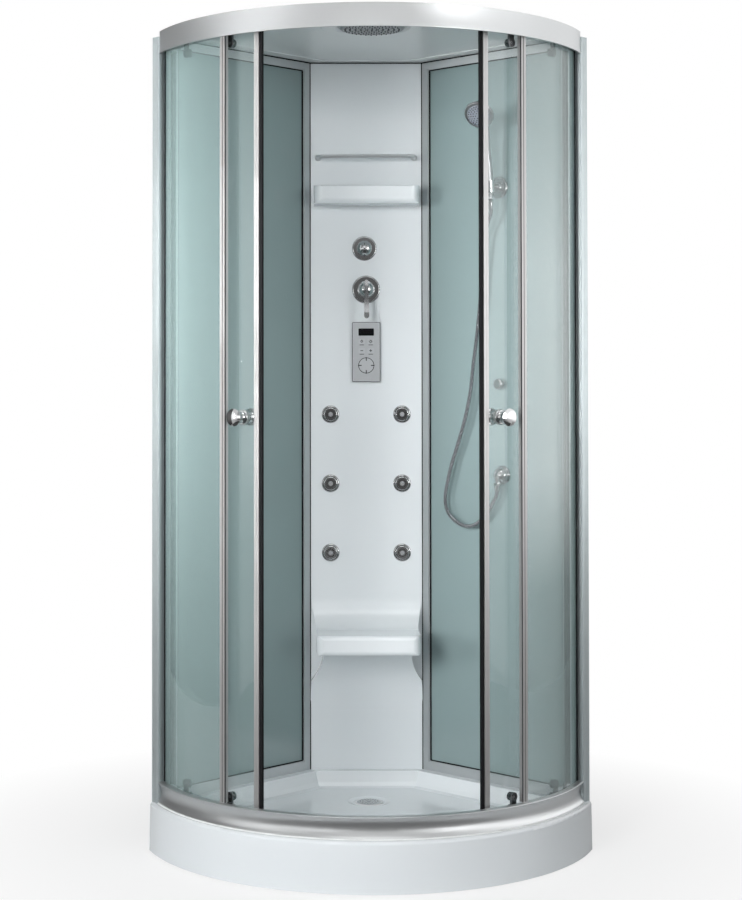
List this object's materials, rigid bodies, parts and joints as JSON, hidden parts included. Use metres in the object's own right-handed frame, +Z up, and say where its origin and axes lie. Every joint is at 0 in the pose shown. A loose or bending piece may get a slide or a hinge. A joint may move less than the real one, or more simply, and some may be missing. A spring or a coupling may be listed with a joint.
{
  "type": "shower cabin",
  "caption": "Corner shower cabin with a low tray, a curved front of fixed and sliding glass, glass back walls, and a moulded column with seat, mixer, jets and a hand shower.",
  "frame": {"origin": "on the floor, at the middle of the cabin's box", "axes": "-Y is the round front, +Y the corner of the room, +X the right side as one walks in, +Z up"},
  "size_m": [1.1874, 1.0005, 2.2],
  "materials": {
    "acrylic": "smooth white sanitary acrylic",
    "roof": "white moulded sheet",
    "frame_steel": "grey powder coat",
    "foot_plastic": "black moulded feet on steel rods",
    "waste_plastic": "pale grey moulding",
    "rail": "satin anodised",
    "wall_frame": "satin anodised",
    "front_glass": "tempered, faint aqua tint",
    "back_glass": "backed grey-green tempered glass",
    "seal": "soft black extrusion",
    "chrome": "polished",
    "lever": "satin chrome",
    "hanger": "polished block",
    "roller": "black acetal wheel",
    "keypad": "fine grained silver",
    "keys": "fine grained silver",
    "display": "dark window",
    "overhead": "satin, with rubber nozzles",
    "handset": "polished shell",
    "hose": "ribbed metal",
    "copper": "bare copper and brass"
  },
  "bodies": {
    "root": {"tray": "acrylic", "tray_frame": "frame_steel", "levelling_feet": "foot_plastic", "waste_trap": "waste_plastic", "bottom_rail": "rail", "top_rail": "rail", "wall_posts": "rail", "fixed_glass": "front_glass", "fixed_stiles": "rail", "wall_frames": "wall_frame", "wall_glass": "back_glass", "column": "acrylic", "towel_bar": "chrome", "trim_plates": "chrome", "keypad_case": "keypad", "keypad_display": "display", "jet_bodies": "chrome", "roof_panel": "roof", "overhead_shower": "overhead", "handset_holder": "chrome", "hose": "hose", "wall_elbow": "chrome", "wall_hook": "chrome", "water_pipes": "copper"},
    "door_left": {"door_glass_left": "front_glass", "door_stile_left": "rail", "door_seals_left": "seal", "door_knob_left": "chrome", "roller_hangers_left": "hanger"},
    "roller_left_1": {"roller_left_1": "roller"},
    "roller_left_2": {"roller_left_2": "roller"},
    "roller_left_3": {"roller_left_3": "roller"},
    "roller_left_4": {"roller_left_4": "roller"},
    "door_right": {"door_glass_right": "front_glass", "door_stile_right": "rail", "door_seals_right": "seal", "door_knob_right": "chrome", "roller_hangers_right": "hanger"},
    "roller_right_1": {"roller_right_1": "roller"},
    "roller_right_2": {"roller_right_2": "roller"},
    "roller_right_3": {"roller_right_3": "roller"},
    "roller_right_4": {"roller_right_4": "roller"},
    "diverter_knob": {"diverter_knob": "chrome"},
    "mixer_hub": {"mixer_hub": "chrome"},
    "mixer_lever": {"mixer_lever": "lever"},
    "key_1": {"key_1": "keys"},
    "key_2": {"key_2": "keys"},
    "key_3": {"key_3": "keys"},
    "key_4": {"key_4": "keys"},
    "keypad_ring": {"keypad_ring": "keys"},
    "jet_nozzle_1": {"jet_nozzle_1": "chrome"},
    "jet_nozzle_2": {"jet_nozzle_2": "chrome"},
    "jet_nozzle_3": {"jet_nozzle_3": "chrome"},
    "jet_nozzle_4": {"jet_nozzle_4": "chrome"},
    "jet_nozzle_5": {"jet_nozzle_5": "chrome"},
    "jet_nozzle_6": {"jet_nozzle_6": "chrome"},
    "drain_cover": {"drain_cover": "chrome"},
    "hand_shower": {"hand_shower": "handset", "hose_nut": "chrome"}
  },
  "joints": [
    {"name": "door_left_slide", "type": "hinge", "parent": "root", "child": "door_left", "pos_m": [0, 0.12971, 0], "axis": [0, 0, 1], "range_deg": [0, 29.82]},
    {"name": "roller_left_1_spin", "type": "hinge", "parent": "door_left", "child": "roller_left_1", "pos_m": [-0.35846, -0.30053, 0.1653], "axis": [-0.6401, -0.7683, 0], "range_deg": [-1875.5, 20]},
    {"name": "roller_left_2_spin", "type": "hinge", "parent": "door_left", "child": "roller_left_2", "pos_m": [-0.479, -0.16038, 0.1653], "axis": [-0.8554, -0.518, 0], "range_deg": [-1875.5, 20]},
    {"name": "roller_left_3_spin", "type": "hinge", "parent": "door_left", "child": "roller_left_3", "pos_m": [-0.35846, -0.30053, 2.1753], "axis": [-0.6401, -0.7683, 0], "range_deg": [-1538.1, 20]},
    {"name": "roller_left_4_spin", "type": "hinge", "parent": "door_left", "child": "roller_left_4", "pos_m": [-0.479, -0.16038, 2.1753], "axis": [-0.8554, -0.518, 0], "range_deg": [-1538.1, 20]},
    {"name": "door_right_slide", "type": "hinge", "parent": "root", "child": "door_right", "pos_m": [0, 0.12971, 0], "axis": [0, 0, 1], "range_deg": [-28.32, 0.9]},
    {"name": "roller_right_1_spin", "type": "hinge", "parent": "door_right", "child": "roller_right_1", "pos_m": [0.34708, -0.30976, 0.1653], "axis": [0.6198, -0.7848, 0], "range_deg": [-76, 1782.1]},
    {"name": "roller_right_2_spin", "type": "hinge", "parent": "door_right", "child": "roller_right_2", "pos_m": [0.47125, -0.17282, 0.1653], "axis": [0.8415, -0.5402, 0], "range_deg": [-76, 1782.1]},
    {"name": "roller_right_3_spin", "type": "hinge", "parent": "door_right", "child": "roller_right_3", "pos_m": [0.34708, -0.30976, 2.1753], "axis": [0.6198, -0.7848, 0], "range_deg": [-65.8, 1461.7]},
    {"name": "roller_right_4_spin", "type": "hinge", "parent": "door_right", "child": "roller_right_4", "pos_m": [0.47125, -0.17282, 2.1753], "axis": [0.8415, -0.5402, 0], "range_deg": [-65.8, 1461.7]},
    {"name": "diverter_turn", "type": "hinge", "parent": "root", "child": "diverter_knob", "pos_m": [-0.005, 0.29271, 1.642], "axis": [0, -1, 0], "range_deg": [-120, 120]},
    {"name": "mixer_turn", "type": "hinge", "parent": "root", "child": "mixer_hub", "pos_m": [0, 0.28771, 1.522], "axis": [0, -1, 0], "range_deg": [-45, 45]},
    {"name": "mixer_lift", "type": "hinge", "parent": "mixer_hub", "child": "mixer_lever", "pos_m": [0, 0.28171, 1.522], "axis": [-1, 0, 0], "range_deg": [0, 22]},
    {"name": "key_1_press", "type": "slide", "parent": "root", "child": "key_1", "axis": [0, 1, 0], "range_m": [0, 0.0008], "stiffness_N_per_m": 900, "springref_m": -0.0006},
    {"name": "key_2_press", "type": "slide", "parent": "root", "child": "key_2", "axis": [0, 1, 0], "range_m": [0, 0.0008], "stiffness_N_per_m": 900, "springref_m": -0.0006},
    {"name": "key_3_press", "type": "slide", "parent": "root", "child": "key_3", "axis": [0, 1, 0], "range_m": [0, 0.0008], "stiffness_N_per_m": 900, "springref_m": -0.0006},
    {"name": "key_4_press", "type": "slide", "parent": "root", "child": "key_4", "axis": [0, 1, 0], "range_m": [0, 0.0008], "stiffness_N_per_m": 900, "springref_m": -0.0006},
    {"name": "keypad_ring_press", "type": "slide", "parent": "root", "child": "keypad_ring", "axis": [0, 1, 0], "range_m": [0, 0.0008], "stiffness_N_per_m": 1200, "springref_m": -0.0006},
    {"name": "jet_nozzle_1_tilt", "type": "hinge", "parent": "root", "child": "jet_nozzle_1", "pos_m": [-0.104, 0.31071, 1.159], "axis": [1, 0, 0], "range_deg": [-12, 12]},
    {"name": "jet_nozzle_2_tilt", "type": "hinge", "parent": "root", "child": "jet_nozzle_2", "pos_m": [0.104, 0.31071, 1.159], "axis": [1, 0, 0], "range_deg": [-12, 12]},
    {"name": "jet_nozzle_3_tilt", "type": "hinge", "parent": "root", "child": "jet_nozzle_3", "pos_m": [-0.104, 0.31071, 0.958], "axis": [1, 0, 0], "range_deg": [-12, 12]},
    {"name": "jet_nozzle_4_tilt", "type": "hinge", "parent": "root", "child": "jet_nozzle_4", "pos_m": [0.104, 0.31071, 0.958], "axis": [1, 0, 0], "range_deg": [-12, 12]},
    {"name": "jet_nozzle_5_tilt", "type": "hinge", "parent": "root", "child": "jet_nozzle_5", "pos_m": [-0.104, 0.31071, 0.757], "axis": [1, 0, 0], "range_deg": [-12, 12]},
    {"name": "jet_nozzle_6_tilt", "type": "hinge", "parent": "root", "child": "jet_nozzle_6", "pos_m": [0.104, 0.31071, 0.757], "axis": [1, 0, 0], "range_deg": [-12, 12]},
    {"name": "drain_cover_lift", "type": "slide", "parent": "root", "child": "drain_cover", "axis": [0, 0, 1], "range_m": [0, 0.05]},
    {"name": "hand_shower_lift", "type": "slide", "parent": "root", "child": "hand_shower", "axis": [-0.0739, -0.0739, 0.9945], "range_m": [0, 0.06], "deforming": ["hose"]}
  ],
  "couplings": [
    {"joint": "roller_left_1_spin", "follows": "door_left_slide", "ratio": -62.222},
    {"joint": "roller_left_2_spin", "follows": "door_left_slide", "ratio": -62.222},
    {"joint": "roller_left_3_spin", "follows": "door_left_slide", "ratio": -50.909},
    {"joint": "roller_left_4_spin", "follows": "door_left_slide", "ratio": -50.909},
    {"joint": "roller_right_1_spin", "follows": "door_right_slide", "ratio": -62.222},
    {"joint": "roller_right_2_spin", "follows": "door_right_slide", "ratio": -62.222},
    {"joint": "roller_right_3_spin", "follows": "door_right_slide", "ratio": -50.909},
    {"joint": "roller_right_4_spin", "follows": "door_right_slide", "ratio": -50.909}
  ]
}
